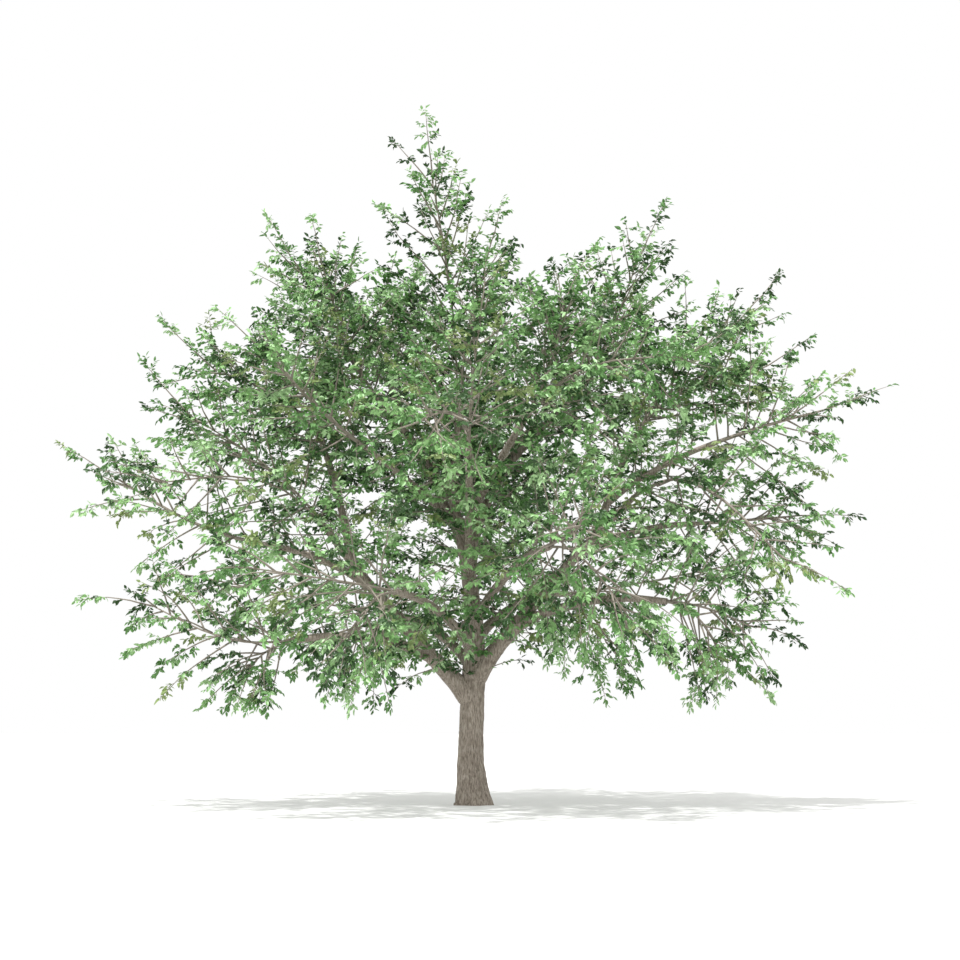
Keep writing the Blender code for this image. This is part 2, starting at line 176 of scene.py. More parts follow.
def level_side(heading: Vector, shortest: float, instead: Vector) -> Vector:
    """The level direction square to a heading.

    Args:
        heading: the unit heading.
        shortest: the least length that its cross product with the vertical may have.
        instead: the direction for a heading so upright that it is shorter.

    Returns:
        The unit direction.
    """
    side = heading.cross(UP)
    return side.normalized() if side.length > shortest else instead


def cross_axes(heading: Vector, steepest: float) -> tuple[Vector, Vector]:
    """Two directions square to a heading and to each other.

    Args:
        heading: the unit heading.
        steepest: how upright it may be before the first is taken square to the X axis.

    Returns:
        The two unit directions.
    """
    across = heading.cross(UP if abs(heading.z) < steepest else EAST).normalized()
    return across, heading.cross(across)


def linked(name: str, data: bpy.types.ID) -> bpy.types.Object:
    """Makes an object of a mesh, a light or a camera and links it to the scene.

    Args:
        name: the object's name.
        data: what it shows.

    Returns:
        The object, at the origin.
    """
    made = bpy.data.objects.new(name, data)
    bpy.context.scene.collection.objects.link(made)
    return made


def shaped(name: str, form: bmesh.types.BMesh, material: bpy.types.Material) -> bpy.types.Object:
    """Makes an object of a finished form, and frees the form.

    Args:
        name: the object's name.
        form: its shape.
        material: its finish.

    Returns:
        The object, at the origin.
    """
    mesh = bpy.data.meshes.new(name)
    form.to_mesh(mesh)
    form.free()
    mesh.materials.append(material)
    return linked(name, mesh)


class Region(Enum):
    """The parts of the crown that leaves and twigs are joined by."""

    TOP = "top"
    LEFT = "left"
    RIGHT = "right"
    FRONT = "front"
    BACK = "back"

    @staticmethod
    def of(owner: str) -> Region:
        """The region that a limb's foliage belongs to.

        Args:
            owner: the limb's name.

        Returns:
            The region, which is the top unless the name says otherwise.
        """
        if owner == "trunk" or owner.startswith("leader"):
            return Region.TOP
        for region in (Region.FRONT, Region.BACK, Region.LEFT, Region.RIGHT):
            if region.value in owner:
                return region
        return Region.TOP


@dataclass
class Limb:
    """A round, tapering limb: points along its axis and the radius at each."""

    name: str
    points: list[Vector]
    radii: list[float]

    def length(self) -> float:
        """The length of the axis."""
        return sum((b - a).length for a, b in zip(self.points, self.points[1:]))

    def at(self, distance: float) -> tuple[Vector, Vector]:
        """The point this far along the axis, and the heading there.

        Args:
            distance: metres along the axis from its root.

        Returns:
            The point and the unit heading.
        """
        for a, b in zip(self.points, self.points[1:]):
            step = (b - a).length
            if distance <= step:
                return a.lerp(b, distance / step), (b - a).normalized()
            distance -= step
        return self.points[-1].copy(), self.tip_heading()

    def tip_heading(self) -> Vector:
        """The heading of the last piece of the axis."""
        return (self.points[-1] - self.points[-2]).normalized()

    def smoothed(self, steps: int) -> tuple[np.ndarray, np.ndarray]:
        """The axis and radii drawn through the points as a smooth curve.

        Args:
            steps: pieces between each pair of points.

        Returns:
            Points as an (n, 3) array, and n radii.
        """
        rows = np.array([[*point, radius] for point, radius in zip(self.points, self.radii)])
        tangents = np.gradient(rows, axis=0)
        spans = []
        for i in range(len(rows) - 1):
            t = np.linspace(0, 1, steps, endpoint=False)[:, None]
            a, b, u, v = rows[i], rows[i + 1], tangents[i], tangents[i + 1]
            spans.append(
                (2 * t**3 - 3 * t**2 + 1) * a
                + (t**3 - 2 * t**2 + t) * u
                + (3 * t**2 - 2 * t**3) * b
                + (t**3 - t**2) * v
            )
        curve = np.vstack([*spans, rows[-1:]])
        return curve[:, :3], curve[:, 3]


@dataclass
class Skeleton:
    """The trunk, the boughs and the stems of the masses, as the solids have them."""

    limbs: dict[str, Limb] = field(default_factory=dict)
    stems: list[tuple[str, Limb, Vector]] = field(default_factory=list)

    def grow(self) -> Skeleton:
        """Works out every limb and stem.

        Returns:
            The skeleton itself.
        """
        axis = [Vector((x, y, z)) for z, x, y, _ in TRUNK_AXIS]
        self.limbs["trunk"] = Limb("trunk", axis, [row[3] for row in TRUNK_AXIS])
        for name in BOUGHS:
            self.limbs[name] = self._bough(name)
        for owner, aims in MASSES.items():
            for index in range(len(aims)):
                self.stems.append(self._stem(owner, aims, index))
        return self

    def _bough(self, name: str) -> Limb:
        """A bough from its parent's axis outwards, its rise turning evenly from root to tip.

        Args:
            name: its name in the table.

        Returns:
            The bough.
        """
        parent, at, bearing, rise_root, rise_tip, length, radius = BOUGHS[name]
        point, _ = self.limbs[parent].at(at)
        tip = FORKED_TIP_RADIUS if len(MASSES[name]) > 1 else BOUGH_TIP_RADIUS
        points, radii = [point], [radius]
        for i in range(BOUGH_STEPS):
            rise = rise_root + (rise_tip - rise_root) * (i + 0.5) / BOUGH_STEPS
            point = point + direction(bearing, rise) * (length / BOUGH_STEPS)
            points.append(point)
            radii.append(radius + (tip - radius) * (i + 1) / BOUGH_STEPS)
        return Limb(name, points, radii)

    def _stem(self, owner: str, aims: tuple, index: int) -> tuple[str, Limb, Vector]:
        """The stem of one mass.

        Args:
            owner: the limb that it grows from.
            aims: bearing, elevation and distance of each mass of that limb.
            index: the place of this one among them.

        Returns:
            Its owner, the stem, and the furthest tip that it aims at.
        """
        limb = self.limbs[owner]
        heading = limb.tip_heading()
        start = limb.points[-1]
        ends = [CROWN_CENTRE + direction(bearing, rise) * reach for bearing, rise, reach in aims]
        width = limb.radii[-1] * STEM_FILL
        if len(aims) > 1:
            aside = ends[index] - sum(ends, Vector()) / len(ends)
            aside -= heading * aside.dot(heading)
            start = start + aside.normalized() * limb.radii[-1] * STEM_OFFSET
            width *= STEM_OFFSET
        turn = start + heading * STEM_START
        end = ends[index] - (ends[index] - start).normalized() * STEM_OVERHANG
        middle = turn + heading * (end - turn).length * STEM_SWEEP
        steps = STEM_POINTS - 1
        points = [start] + [bezier(turn, middle, end, i / (steps - 1)) for i in range(steps)]
        radii = [width * (1 + (STEM_TAPER - 1) * i / steps) for i in range(STEM_POINTS)]
        place = owner.replace("bough_", "").replace("trunk", "top")
        letter = "ab"[index]
        return owner, Limb(f"foliage_{place}_{letter}", points, radii), ends[index]


class Wire:
    """A shader value, with arithmetic that adds Math nodes."""

    def __init__(self, shader: Shader, socket: bpy.types.NodeSocket) -> None:
        """Wraps one output socket."""
        self.shader = shader
        self.socket = socket

    def _math(self, operation: str, first: object, second: object) -> Wire:
        """One Math node of two values."""
        return self.shader.node("ShaderNodeMath", {"operation": operation}, {0: first, 1: second})

    def __add__(self, other: object) -> Wire:
        """The sum."""
        return self._math("ADD", self, other)

    __radd__ = __add__

    def __sub__(self, other: object) -> Wire:
        """The difference."""
        return self._math("SUBTRACT", self, other)

    def __rsub__(self, other: object) -> Wire:
        """The difference, reflected."""
        return self._math("SUBTRACT", other, self)

    def __mul__(self, other: object) -> Wire:
        """The product."""
        return self._math("MULTIPLY", self, other)

    __rmul__ = __mul__


class Shader:
    """A material's node tree, with one method that makes every node."""

    def __init__(self, name: str) -> None:
        """Makes the material with its Principled shader."""
        self.material = bpy.data.materials.new(name)
        self.material.use_nodes = True
        self.tree = self.material.node_tree
        self.principled = self.tree.nodes["Principled BSDF"]

    def node(self, kind: str, settings: dict, sockets: dict, output: object = 0) -> Wire:
        """Adds a node.

        Args:
            kind: the node's type.
            settings: its properties.
            sockets: values or wires for its inputs, by name or number.
            output: the output that the wire takes.

        Returns:
            The wire from that output.
        """
        made = self.tree.nodes.new(kind)
        for key, value in settings.items():
            setattr(made, key, value)
        for key, value in sockets.items():
            self.feed(made.inputs[key], value)
        return Wire(self, made.outputs[output])

    def feed(self, socket: bpy.types.NodeSocket, value: object) -> None:
        """Sets a socket to a constant or links a wire to it.

        Args:
            socket: the input.
            value: the constant or the wire.
        """
        if isinstance(value, Wire):
            self.tree.links.new(value.socket, socket)
        else:
            socket.default_value = value


@dataclass(frozen=True)
class Bark:
    """Grey-brown bark with upright furrows, wide patches and a fine grain."""

    dark: tuple = (0.150, 0.118, 0.092, 1.0)
    light: tuple = (0.530, 0.465, 0.400, 1.0)
    roughness: float = 0.88
    stretch: tuple = (1.0, 1.0, 0.20)
    furrow_scale: float = 62.0
    furrow_detail: float = 7.0
    furrow_roughness: float = 0.62
    furrow_level: float = 0.36
    furrow_contrast: float = 2.6
    patch_scale: float = 5.0
    patch_contrast: float = 0.5
    grain_scale: float = 120.0
    grain_contrast: float = 0.35
    even_detail: float = 3.0
    even_level: float = 0.5
    bump: float = 0.55
    bump_depth: float = 0.012
    grain_bump: float = 0.2

    def material(self) -> bpy.types.Material:
        """The bark as a material, read from Object coordinates in metres.

        Returns:
            The material.
        """
        shader = Shader("beech_bark")
        place = shader.node("ShaderNodeTexCoord", {}, {}, "Object")
        long = shader.node("ShaderNodeVectorMath", {"operation": "MULTIPLY"}, {0: place, 1: self.stretch})
        furrow_sockets = {
            "Vector": long,
            "Scale": self.furrow_scale,
            "Detail": self.furrow_detail,
            "Roughness": self.furrow_roughness,
        }
        furrow = shader.node("ShaderNodeTexNoise", {}, furrow_sockets)
        patch = self._even_noise(shader, place, self.patch_scale)
        grain = self._even_noise(shader, place, self.grain_scale)
        tone = (
            (furrow - self.furrow_level) * self.furrow_contrast
            + (patch - self.even_level) * self.patch_contrast
            + (grain - self.even_level) * self.grain_contrast
        )
        colour = shader.node(
            "ShaderNodeMix",
            {"data_type": "RGBA", "clamp_factor": True},
            {MIX_FACTOR: tone, MIX_FIRST: self.dark, MIX_SECOND: self.light},
            MIX_RESULT,
        )
        height = furrow + grain * self.grain_bump
        relief = shader.node(
            "ShaderNodeBump", {}, {"Strength": self.bump, "Distance": self.bump_depth, "Height": height}
        )
        shader.feed(shader.principled.inputs["Base Color"], colour)
        shader.feed(shader.principled.inputs["Roughness"], self.roughness)
        shader.feed(shader.principled.inputs["Normal"], relief)
        return shader.material

    def _even_noise(self, shader: Shader, place: Wire, scale: float) -> Wire:
        """Noise of this scale, the same in every direction."""
        sockets = {"Vector": place, "Scale": scale, "Detail": self.even_detail}
        return shader.node("ShaderNodeTexNoise", {}, sockets)


@dataclass(frozen=True)
class Plain:
    """One even finish, which may glow white."""

    name: str
    colour: tuple
    roughness: float
    glow: float = 0.0

    def material(self) -> bpy.types.Material:
        """The finish as a material.

        Returns:
            The material.
        """
        shader = Shader(self.name)
        shader.feed(shader.principled.inputs["Base Color"], (*self.colour, 1.0))
        shader.feed(shader.principled.inputs["Roughness"], self.roughness)
        if self.glow:
            shader.feed(shader.principled.inputs["Emission Color"], WHITE)
            shader.feed(shader.principled.inputs["Emission Strength"], self.glow)
        return shader.material


# The greens of the leaves, each with its share of the sprays, dealt out at random. Mid and warm are the
# leaves' own tones; deep is partly painted shade, and fresh and light are partly painted highlight of
# sunlit, glossy leaves.
LEAF_TONES = (
    # Partly painted shade: this deepest green stands for leaves in shade inside the crown
    (Plain("leaf_deep_painted_shade", (0.030, 0.086, 0.018), 0.50), 4),
    (Plain("leaf_mid", (0.105, 0.245, 0.066), 0.48), 4),
    # Partly painted highlight: the fresh and light greens stand for sunlit, glossy leaves
    (Plain("leaf_fresh_painted_highlight", (0.230, 0.425, 0.155), 0.46), 4),
    (Plain("leaf_painted_highlight", (0.330, 0.520, 0.245), 0.46), 3),
    (Plain("leaf_warm", (0.220, 0.300, 0.105), 0.50), 1),
)
TWIG_FINISH = Plain("beech_twig", (0.270, 0.235, 0.195), 0.80)
FLOOR_FINISH = Plain("studio_floor", (0.50, 0.50, 0.485), 0.90, 0.29)


@dataclass
class Heap:
    """Triangles that are being gathered for one piece."""

    vertices: list[np.ndarray] = field(default_factory=list)
    faces: list[np.ndarray] = field(default_factory=list)
    slots: list[np.ndarray] = field(default_factory=list)
    count: int = 0

    def add(self, vertices: np.ndarray, faces: np.ndarray, slot: int | np.ndarray = 0) -> None:
        """Adds triangles.

        Args:
            vertices: their corners, (n, 3).
            faces: corner numbers, (m, 3).
            slot: the material slot of all, or of each.
        """
        self.vertices.append(vertices)
        self.faces.append(faces + self.count)
        self.slots.append(np.broadcast_to(np.asarray(slot), (len(faces),)))
        self.count += len(vertices)

    def piece(self, name: str, materials: list[bpy.types.Material], smooth: bool) -> bpy.types.Object:
        """Makes one object of everything gathered.

        Args:
            name: the object's name.
            materials: its material slots.
            smooth: whether its faces are shaded smooth.

        Returns:
            The object, at the origin.
        """
        vertices, faces = np.vstack(self.vertices), np.vstack(self.faces)
        mesh = bpy.data.meshes.new(name)
        mesh.vertices.add(len(vertices))
        mesh.vertices.foreach_set("co", vertices.astype(np.float32).ravel())
        mesh.loops.add(faces.size)
        mesh.loops.foreach_set("vertex_index", faces.astype(np.int32).ravel())
        mesh.polygons.add(len(faces))
        mesh.polygons.foreach_set("loop_start", np.arange(0, faces.size, 3, dtype=np.int32))
        mesh.polygons.foreach_set("material_index", np.concatenate(self.slots).astype(np.int32))
        mesh.polygons.foreach_set("use_smooth", np.full(len(faces), smooth))
        mesh.update(calc_edges=True)
        for material in materials:
            mesh.materials.append(material)
        log.info("%s: %d triangles", name, len(faces))
        return linked(name, mesh)


def ring_frames(points: np.ndarray) -> list[tuple[np.ndarray, np.ndarray]]:
    """Two axes across a curve at each of its points, carried along it without twist.

    Args:
        points: the curve, (n, 3).

    Returns:
        Two unit axes for each point.
    """
    headings = np.gradient(points, axis=0)
    headings /= np.linalg.norm(headings, axis=1)[:, None]
    beside = NORTH if abs(headings[0][1]) < NEARLY_ALONG else EAST
    across = np.cross(headings[0], beside)
    frames = []
    for heading in headings:
        across = across - heading * (across @ heading)
        across /= np.linalg.norm(across)
        frames.append((across, np.cross(heading, across)))
    return frames


def tube(points: np.ndarray, radii: np.ndarray, sides: int) -> tuple[np.ndarray, np.ndarray]:
    """A closed tube round a curve.

    Args:
        points: the axis, (n, 3).
        radii: the radius at each point.
        sides: corners of each ring.

    Returns:
        Corners and triangles.
    """
    turn = np.arange(sides) * 2 * math.pi / sides
    rings = [
        point + radius * (np.cos(turn)[:, None] * across + np.sin(turn)[:, None] * other)
        for point, radius, (across, other) in zip(points, radii, ring_frames(points))
    ]
    count = len(points)
    vertices = np.vstack([*rings, points[:1], points[-1:]])
    a = (np.arange(count - 1)[:, None] * sides + np.arange(sides)).ravel()
    b = (np.arange(count - 1)[:, None] * sides + (np.arange(sides) + 1) % sides).ravel()
    side = np.vstack([np.stack([a, b, b + sides], 1), np.stack([a, b + sides, a + sides], 1)])
    around, after = np.arange(sides), (np.arange(sides) + 1) % sides
    last = (count - 1) * sides
    root = np.stack([after, around, np.full(sides, count * sides)], 1)
    tip = np.stack([last + around, last + after, np.full(sides, count * sides + 1)], 1)
    return vertices, np.vstack([side, root, tip])


@dataclass
class Wood:
    """The trunk and the boughs with the bark's relief, one piece for each node."""

    skeleton: Skeleton
    bark: bpy.types.Material
    trunk_sides: int = 110
    trunk_steps: int = 20
    bough_sides: int = 28
    bough_steps: int = 14
    ridge: float = 0.05
    ridges_round: float = 34
    ridges_up: float = 5.5
    ridge_dimension: float = 0.9
    ridge_lacunarity: float = 2.1
    ridge_octaves: int = 4
    swell: float = 0.03
    swells: float = 4.0
    collar: float = 0.45
    collar_start: float = 0.10
    collar_length: float = 0.16

    def build(self) -> None:
        """Makes every piece, hangs it on the root body and hides the solid that it stands for."""
        for name, limb in self.skeleton.limbs.items():
            is_trunk = name == "trunk"
            steps = self.trunk_steps if is_trunk else self.bough_steps
            points, radii = limb.smoothed(steps)
            if not is_trunk:
                radii = self._swollen(points, radii)
            sides = self.trunk_sides if is_trunk else self.bough_sides
            piece = self._limb_piece(f"bark_{name}", points, radii, sides, is_trunk)
            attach(piece, "root")
            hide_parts(name)

    def _swollen(self, points: np.ndarray, radii: np.ndarray) -> np.ndarray:
        """The radii with the collar that a bough has where it leaves its parent."""
        away = np.linalg.norm(points - points[0], axis=1) - self.collar_start
        return radii * (1 + self.collar * np.exp(-np.maximum(away, 0) / self.collar_length))

    def _limb_piece(
        self, name: str, points: np.ndarray, radii: np.ndarray, sides: int, is_trunk: bool
    ) -> bpy.types.Object:
        """One limb: a cylinder cut into rings, each then laid on the axis with its relief.

        Args:
            name: the object's name.
            points: the axis.
            radii: the radius at each point.
            sides: corners of each ring.
            is_trunk: whether the foot flares.

        Returns:
            The object.
        """
        last = len(points) - 1
        form = bmesh.new()
        bmesh.ops.create_cone(form, cap_ends=True, segments=sides, radius1=1.0, radius2=1.0, depth=last)
        upright = [edge for edge in form.edges if abs(edge.verts[0].co.z - edge.verts[1].co.z) > last / 2]
        bmesh.ops.subdivide_edges(form, edges=upright, cuts=last - 1, use_grid_fill=True)
        frames = ring_frames(points)
        for vertex in form.verts:
            ring = min(last, max(0, round(vertex.co.z + last / 2)))
            across, other = frames[ring]
            out = across * vertex.co.x + other * vertex.co.y
            offset = out * radii[ring]
            place = points[ring] + offset * self._relief(points[ring] + offset, out, is_trunk)
            vertex.co = (place[0], place[1], max(place[2], 0.0))
        bmesh.ops.recalc_face_normals(form, faces=form.faces)
        for face in form.faces:
            face.smooth = len(face.verts) == 4
        log.info("%s: %d faces", name, len(form.faces))
        return shaped(name, form, self.bark)

    def _relief(self, place: np.ndarray, out: np.ndarray, is_trunk: bool) -> float:
        """The scale of the radius at a place: upright furrows, slow swells and the foot's lobes.

        Args:
            place: a point of the smooth limb.
            out: the way out from the axis there.
            is_trunk: whether the foot flares.

        Returns:
            The scale.
        """
        across, up = self.ridges_round, self.ridges_up
        spot = Vector((place[0] * across, place[1] * across, place[2] * up))
        ridges = noise.fractal(spot, self.ridge_dimension, self.ridge_lacunarity, self.ridge_octaves)
        scale = 1 + self.ridge * ridges + self.swell * noise.noise(Vector(place) * self.swells)
        if is_trunk and place[2] < FLARE_HEIGHT:
            rise = (1 - place[2] / FLARE_HEIGHT) ** 2
            scale += FLARE_DEPTH * rise * math.cos(FLARE_LOBES * math.atan2(out[1], out[0]) + FLARE_TURN)
        return scale


@dataclass
class Sprig:
    """The leaves and twigs of one region while they grow, and the nodes that they stand for."""

    twigs: Heap = field(default_factory=Heap)
    bases: list[Vector] = field(default_factory=list)
    headings: list[Vector] = field(default_factory=list)
    normals: list[Vector] = field(default_factory=list)
    lengths: list[float] = field(default_factory=list)
    tones: list[int] = field(default_factory=list)
    nodes: list[str] = field(default_factory=list)


@dataclass(frozen=True)
class OuterPlumes:
    """The plumes round each stem, and the one that ends it."""

    count: int = 18
    count_per_degree: float = 0.16
    last_degree: float = 60
    length: float = 1.55
    shortening: float = 0.55
    sizes: tuple = (0.75, 1.1)
    root_angle: float = 68
    tip_angle: float = 34
    angle_play: float = 9
    radius: float = 0.013
    reaches: tuple = (0.86, 1.02)
    bare: float = 0.40
    high_bare: float = 0.20
    high_rise: float = 28
    end_radius: float = 0.012
    end_margin: float = 0.3
    end_bare: float = 0.05


@dataclass(frozen=True)
class InnerPlumes:
    """The shorter plumes along the trunk and the boughs, which fill the heart of the crown."""

    start: float = 0.20
    trunk_start: float = 0.28
    spacing: float = 0.105
    angles: tuple = (50, 75)
    length: float = 1.10
    sizes: tuple = (0.7, 1.25)
    low_height: float = 2.6
    low_size: float = 0.6
    radius: float = 0.010
    reach: float = 4.6
    bare: float = 0.22


@dataclass(frozen=True)
class PlumeForm:
    """How a plume bends and tapers: it sags low in the crown and lifts high up."""

    steps: int = 6
    fewest_points: int = 3
    sides: int = 4
    taper: float = 0.75
    wander: float = 0.05
    sag: float = 0.05
    low_sag: float = 0.16
    high_lift: float = 0.05
    low_top: float = 4.6
    low_depth: float = 3.0
    tip_margin: float = 0.12
    ground_margin: float = 0.1


@dataclass(frozen=True)
class ShootForm:
    """The side shoots of a plume, with gaps between its clumps of shoots."""

    spacing: float = 0.040
    spacings: tuple = (0.7, 1.3)
    angle: float = 52
    angle_play: float = 12
    side_play: float = 0.55
    shortest_side: float = 0.2
    droop: float = 0.12
    length: float = 0.20
    sizes: tuple = (0.6, 1.25)
    root_size: float = 1.1
    shortening: float = 0.45
    tip_size: float = 0.6
    radius: float = 0.0036
    corners: int = 3
    tone_change: float = 0.3
    gap_length: float = 0.13
    gap_sizes: tuple = (0.6, 1.4)
    gap_end: float = 0.78

    def needle(self, start: Vector, end: Vector) -> tuple[np.ndarray, np.ndarray]:
        """A thin shoot that ends in a point and is open at its root.

        Args:
            start: the middle of its root.
            end: its point.

        Returns:
            Corners and triangles.
        """
        across, other = cross_axes((end - start).normalized(), NEARLY_ALONG)
        turns = [corner * math.tau / self.corners for corner in range(self.corners)]
        ring = [start + (across * math.cos(turn) + other * math.sin(turn)) * self.radius for turn in turns]
        sides = [(i, (i + 1) % self.corners, self.corners) for i in range(self.corners)]
        return np.array([*ring, end]), np.array(sides)


@dataclass(frozen=True)
class LeafForm:
    """A leaf: a pointed oval, folded along the midrib and bent down to its tip.

    The outline gives the place along the leaf and aside, as shares of its length and width.
    """

    outline: tuple = ((0.0, 0.0), (0.34, -0.46), (0.72, -0.34), (1.0, 0.0), (0.72, 0.34), (0.34, 0.46))
    width: float = 0.55
    fold: float = 0.16
    bend: float = 0.10
    length: float = 0.080
    sizes: tuple = (0.72, 1.18)
    spacing: float = 0.019
    fewest: int = 3
    spread: float = 0.75
    droop: float = 0.34
    heading_play: float = 0.42
    normal_play: float = 0.58
    shortest_side: float = 0.1
    shortest_normal: float = 0.1

    def blades(self, sprig: Sprig) -> tuple[np.ndarray, np.ndarray, np.ndarray]:
        """The leaves of a region, each a fan of triangles from its root.

        Args:
            sprig: the region's leaves.

        Returns:
            Corners, triangles and each triangle's material slot.
        """
        base, heading, up = (np.array(rows) for rows in (sprig.bases, sprig.headings, sprig.normals))
        length = np.array(sprig.lengths)[:, None]
        side = np.cross(heading, up)
        corners = []
        for along, aside in self.outline:
            lift = self.fold * abs(aside) - self.bend * along**2
            corners.append(base + length * (heading * along + side * (aside * self.width) + up * lift))
        count = len(self.outline)
        fan = np.array([(0, i, i + 1) for i in range(1, count - 1)])
        faces = (np.arange(len(base))[:, None, None] * count + fan).reshape(-1, 3)
        return np.stack(corners, 1).reshape(-1, 3), faces, np.repeat(np.array(sprig.tones), len(fan))


@dataclass
class Foliage:
    """The stems, the leafy plumes round them and along the limbs, and their shoots and leaves."""

    skeleton: Skeleton
    outer: OuterPlumes = OuterPlumes()
    inner: InnerPlumes = InnerPlumes()
    plume: PlumeForm = PlumeForm()
    shoot: ShootForm = ShootForm()
    leaf: LeafForm = LeafForm()
    stem_steps: int = 3
    stem_sides: int = 6
    roll_play: float = 22
    draw: random.Random = field(default_factory=lambda: random.Random(SEED))
    regions: dict[Region, Sprig] = field(default_factory=lambda: {region: Sprig() for region in Region})
    tone_bag: list[int] = field(default_factory=list)
    plumes: int = 0

    def build(self) -> None:
        for slot, (_, weight) in enumerate(LEAF_TONES):
            self.tone_bag += [slot] * weight
        for owner, stem, aim in self.skeleton.stems:
            sprig = self.regions[Region.of(owner)]
            sprig.nodes.append(stem.name)
            sprig.twigs.add(*tube(*stem.smoothed(self.stem_steps), self.stem_sides))
            self._round_stem(sprig, stem, aim)
        for name, limb in self.skeleton.limbs.items():
            self._along_limb(self.regions[Region.of(name)], limb)
        log.info("%d plumes", self.plumes)
        self._join()

    def _round_stem(self, sprig: Sprig, stem: Limb, aim: Vector) -> None:
        """The plumes of one mass: some round its stem by the golden angle, and one that ends it.

        Args:
            sprig: the region they grow in.
            stem: the stem of the mass.
            aim: the furthest tip of the mass.
        """
        outer = self.outer
        reach = (aim - CROWN_CENTRE).length
        roll, length = self.draw.uniform(0, FULL_TURN), stem.length()
        rise = math.degrees(math.asin((aim - CROWN_CENTRE).normalized().z))
        count = round(outer.count + outer.count_per_degree * min(rise, outer.last_degree))
        bare = outer.bare if rise < outer.high_rise else outer.high_bare
        for i in range(count):
            share = (i + 0.5) / count
            roll += GOLDEN_ANGLE + self._play(self.roll_play)
            point, heading = stem.at(length * share)
            angle = outer.root_angle + (outer.tip_angle - outer.root_angle) * share
            way = self._aside(heading, roll, angle + self._play(outer.angle_play))
            size = outer.length * (1 - outer.shortening * share) * self.draw.uniform(*outer.sizes)
            limit = reach * self.draw.uniform(*outer.reaches)
            self._plume(sprig, point, way, size, outer.radius, limit, bare)
        end = stem.points[-1]
        way, size, limit = (aim - end).normalized(), (aim - end).length, reach + outer.end_margin
        self._plume(sprig, end, way, size, outer.end_radius, limit, outer.end_bare)

    def _along_limb(self, sprig: Sprig, limb: Limb) -> None:
        """Shorter plumes by the golden angle round the outer part of a limb.

        Args:
            sprig: the region they grow in.
            limb: the trunk or a bough.
        """
        inner = self.inner
        length, roll = limb.length(), self.draw.uniform(0, FULL_TURN)
        start = inner.trunk_start if limb.name == "trunk" else inner.start
        for i in range(int(length * (1 - start) / inner.spacing)):
            roll += GOLDEN_ANGLE + self._play(self.roll_play)
            point, heading = limb.at(length * start + i * inner.spacing)
            way = self._aside(heading, roll, self.draw.uniform(*inner.angles))
            size = inner.length * self.draw.uniform(*inner.sizes)
            if point.z < inner.low_height:
                size *= inner.low_size
            self._plume(sprig, point, way, size, inner.radius, inner.reach, inner.bare)

    @staticmethod
    def _aside(heading: Vector, roll: float, angle: float) -> Vector:
        """A heading that leaves another.

        Args:
            heading: the unit heading that it leaves.
            roll: its turn round that one, in degrees.
            angle: its angle from that one, in degrees.

        Returns:
            The unit heading.
        """
        across, other = cross_axes(heading, NEARLY_UPRIGHT)
        turn, lean = math.radians(roll), math.radians(angle)
        side = across * math.cos(turn) + other * math.sin(turn)
        return heading * math.cos(lean) + side * math.sin(lean)

    def _play(self, size: float) -> float:
        """A random number no further than this from zero."""
        return self.draw.uniform(-size, size)

    def _jitter(self, size: float) -> Vector:
        """A random vector with this spread."""
        return Vector((self.draw.gauss(0, size), self.draw.gauss(0, size), self.draw.gauss(0, size)))

    def _plume(
        self,
        sprig: Sprig,
        start: Vector,
        way: Vector,
        length: float,
        radius: float,
        reach: float,
        bare: float,
    ) -> None:
        """One leafy branch with a bare root, side shoots and leaves.

        Args:
            sprig: the region it grows in.
            start: its root.
            way: its first heading.
            length: its length.
            radius: its radius at the root.
            reach: how far its tip may lie from the crown's centre.
            bare: the share of its length that has no leaves.
        """
        form = self.plume
        low = max(0.0, min(1.0, (form.low_top - start.z) / form.low_depth))
        step = length / form.steps
        points, heading = [start], way.normalized()
        for i in range(form.steps):
            sag = (form.sag + form.low_sag * low) * (i / form.steps)
            lift = form.high_lift * (1 - low)
            heading = (heading + Vector((0.0, 0.0, lift - sag)) + self._jitter(form.wander)).normalized()
            point = points[-1] + heading * step
            is_low = point.z < LOWEST_LEAF + form.ground_margin
            if is_low or (point - CROWN_CENTRE).length > reach - form.tip_margin:
                break
            points.append(point)
        if len(points) < form.fewest_points:
            return
        self.plumes += 1
        count = len(points) - 1
        radii = [radius * (1 - form.taper * i / count) for i in range(count + 1)]
        sprig.twigs.add(*tube(np.array(points), np.array(radii), form.sides))
        self._shoots(sprig, Limb("plume", points, radii), bare)

    def _shoots(self, sprig: Sprig, axis: Limb, bare: float) -> None:
        """The side shoots of a plume, left and right in turn, and the one at its tip.

        Args:
            sprig: the region it grows in.
            axis: the plume's own axis.
            bare: the share of its length that has no shoots.
        """
        form = self.shoot
        length = axis.length()
        tone = self.draw.choice(self.tone_bag)
        distance, left = length * bare, 1
        while distance < length:
            point, heading = axis.at(distance)
            share = distance / length
            side = level_side(heading, form.shortest_side, EAST)
            side = (side * left + self._jitter(form.side_play)).normalized()
            angle = math.radians(form.angle + self._play(form.angle_play))
            way = heading * math.cos(angle) + side * math.sin(angle) + Vector((0.0, 0.0, -form.droop))
            size = form.length * (form.root_size - form.shortening * share) * self.draw.uniform(*form.sizes)
            if self.draw.random() < form.tone_change:
                tone = self.draw.choice(self.tone_bag)
            if share < form.gap_end and self.draw.random() < form.spacing / form.gap_length:
                distance += form.gap_length * self.draw.uniform(*form.gap_sizes)
            self._shoot(sprig, point, way.normalized(), size, tone)
            distance += form.spacing * self.draw.uniform(*form.spacings)
            left = -left
        self._shoot(sprig, axis.points[-1], axis.tip_heading(), form.length * form.tip_size, tone)

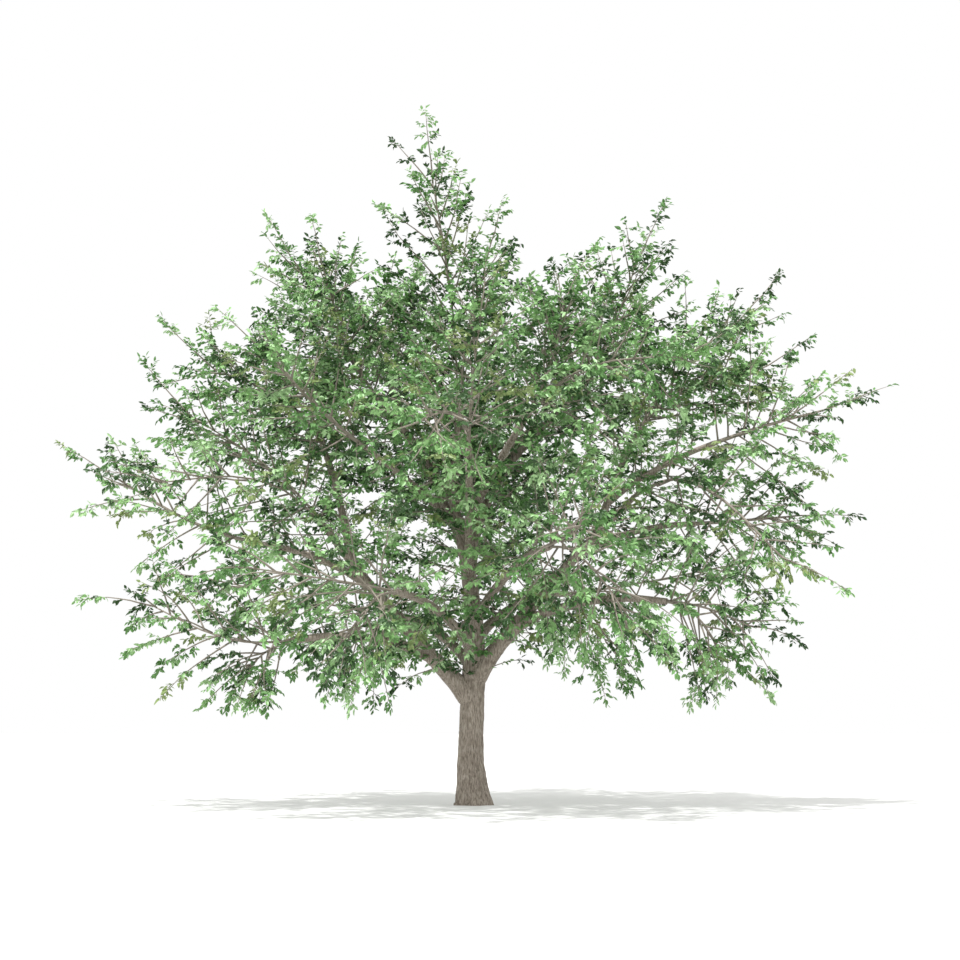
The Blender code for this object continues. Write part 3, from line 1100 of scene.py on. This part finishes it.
    def _shoot(self, sprig: Sprig, start: Vector, way: Vector, length: float, tone: int) -> None:
        """A shoot with alternate leaves that hang a little, and one at its tip.

        Args:
            sprig: the region it grows in.
            start: its root.
            way: its heading.
            length: its length.
            tone: the material slot of its leaves.
        """
        leaf = self.leaf
        end = start + way * length
        if end.z < LOWEST_LEAF:
            return
        sprig.twigs.add(*self.shoot.needle(start, end))
        side = level_side(way, leaf.shortest_side, NORTH)
        count = max(leaf.fewest, int(length / leaf.spacing))
        for i in range(count):
            hand = 1 if i % 2 else -1
            if i == count - 1:
                hand = 0
            heading = way * leaf.spread + side * (leaf.spread * hand)
            heading = heading + Vector((0.0, 0.0, -leaf.droop)) + self._jitter(leaf.heading_play)
            heading.normalize()
            normal = UP + self._jitter(leaf.normal_play)
            normal = normal - heading * normal.dot(heading)
            if normal.length < leaf.shortest_normal:
                continue
            sprig.bases.append(start + way * (length * ((i + 1) / count)))
            sprig.headings.append(heading)
            sprig.normals.append(normal.normalized())
            sprig.lengths.append(leaf.length * self.draw.uniform(*leaf.sizes))
            sprig.tones.append(tone)

    def _join(self) -> None:
        """Makes one piece of twigs and one of leaves in each region."""
        tones = [finish.material() for finish, _ in LEAF_TONES]
        bark = TWIG_FINISH.material()
        for region, sprig in self.regions.items():
            twigs = sprig.twigs.piece(f"twigs_{region.value}", [bark], smooth=True)
            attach(twigs, "root")
            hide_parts(*sprig.nodes)
            heap = Heap()
            heap.add(*self.leaf.blades(sprig))
            leaves = heap.piece(f"leaves_{region.value}", tones, smooth=False)
            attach(leaves, "root")
            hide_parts(*sprig.nodes)


@dataclass(frozen=True)
class Studio:
    """The floor, the light and the camera, whose lens is in millimetres."""

    sky: float = 1.0
    sun: float = 4.2
    sun_angle: float = 1.2
    sun_way: tuple = (0.25, 0.22, -1.0)
    floor_size: float = 120.0
    lens: float = 78.2
    eye: tuple = (0.09, -27.0, 1.3)
    pitch: float = 6.1
    sight: float = 500.0

    def build(self) -> None:
        """Sets up everything round the tree."""
        self._floor()
        self._light()
        self._camera()

    def _floor(self) -> None:
        """A plain pale floor at ground level."""
        form = bmesh.new()
        bmesh.ops.create_grid(form, x_segments=1, y_segments=1, size=self.floor_size / 2)
        floor = shaped("floor", form, FLOOR_FINISH.material())

    def _light(self) -> None:
        """A white surround and a soft sun from the upper left."""
        scene = bpy.context.scene
        scene.view_settings.view_transform = "Standard"
        world = bpy.data.worlds.new("studio")
        world.use_nodes = True
        background = world.node_tree.nodes["Background"]
        background.inputs["Color"].default_value = WHITE
        background.inputs["Strength"].default_value = self.sky
        scene.world = world
        light = bpy.data.lights.new("sun", "SUN")
        light.energy = self.sun
        light.angle = math.radians(self.sun_angle)
        sun = linked("sun", light)
        sun.rotation_euler = Vector(self.sun_way).to_track_quat("-Z", "Y").to_euler()

    def _camera(self) -> None:
        """The camera at eye height, tipped up to the crown."""
        data = bpy.data.cameras.new("camera")
        data.lens = self.lens
        data.clip_end = self.sight
        camera = linked("camera", data)
        camera.location = self.eye
        camera.rotation_euler = Euler((math.radians(90 + self.pitch), 0.0, 0.0))
        bpy.context.scene.camera = camera


def main() -> None:
    """Builds the tree and the studio."""
    logging.basicConfig(level=logging.INFO, format="%(message)s")
    skeleton = Skeleton().grow()
    Wood(skeleton, Bark().material()).build()
    Foliage(skeleton).build()
    Studio().build()


if __name__ == "__main__":
    main()
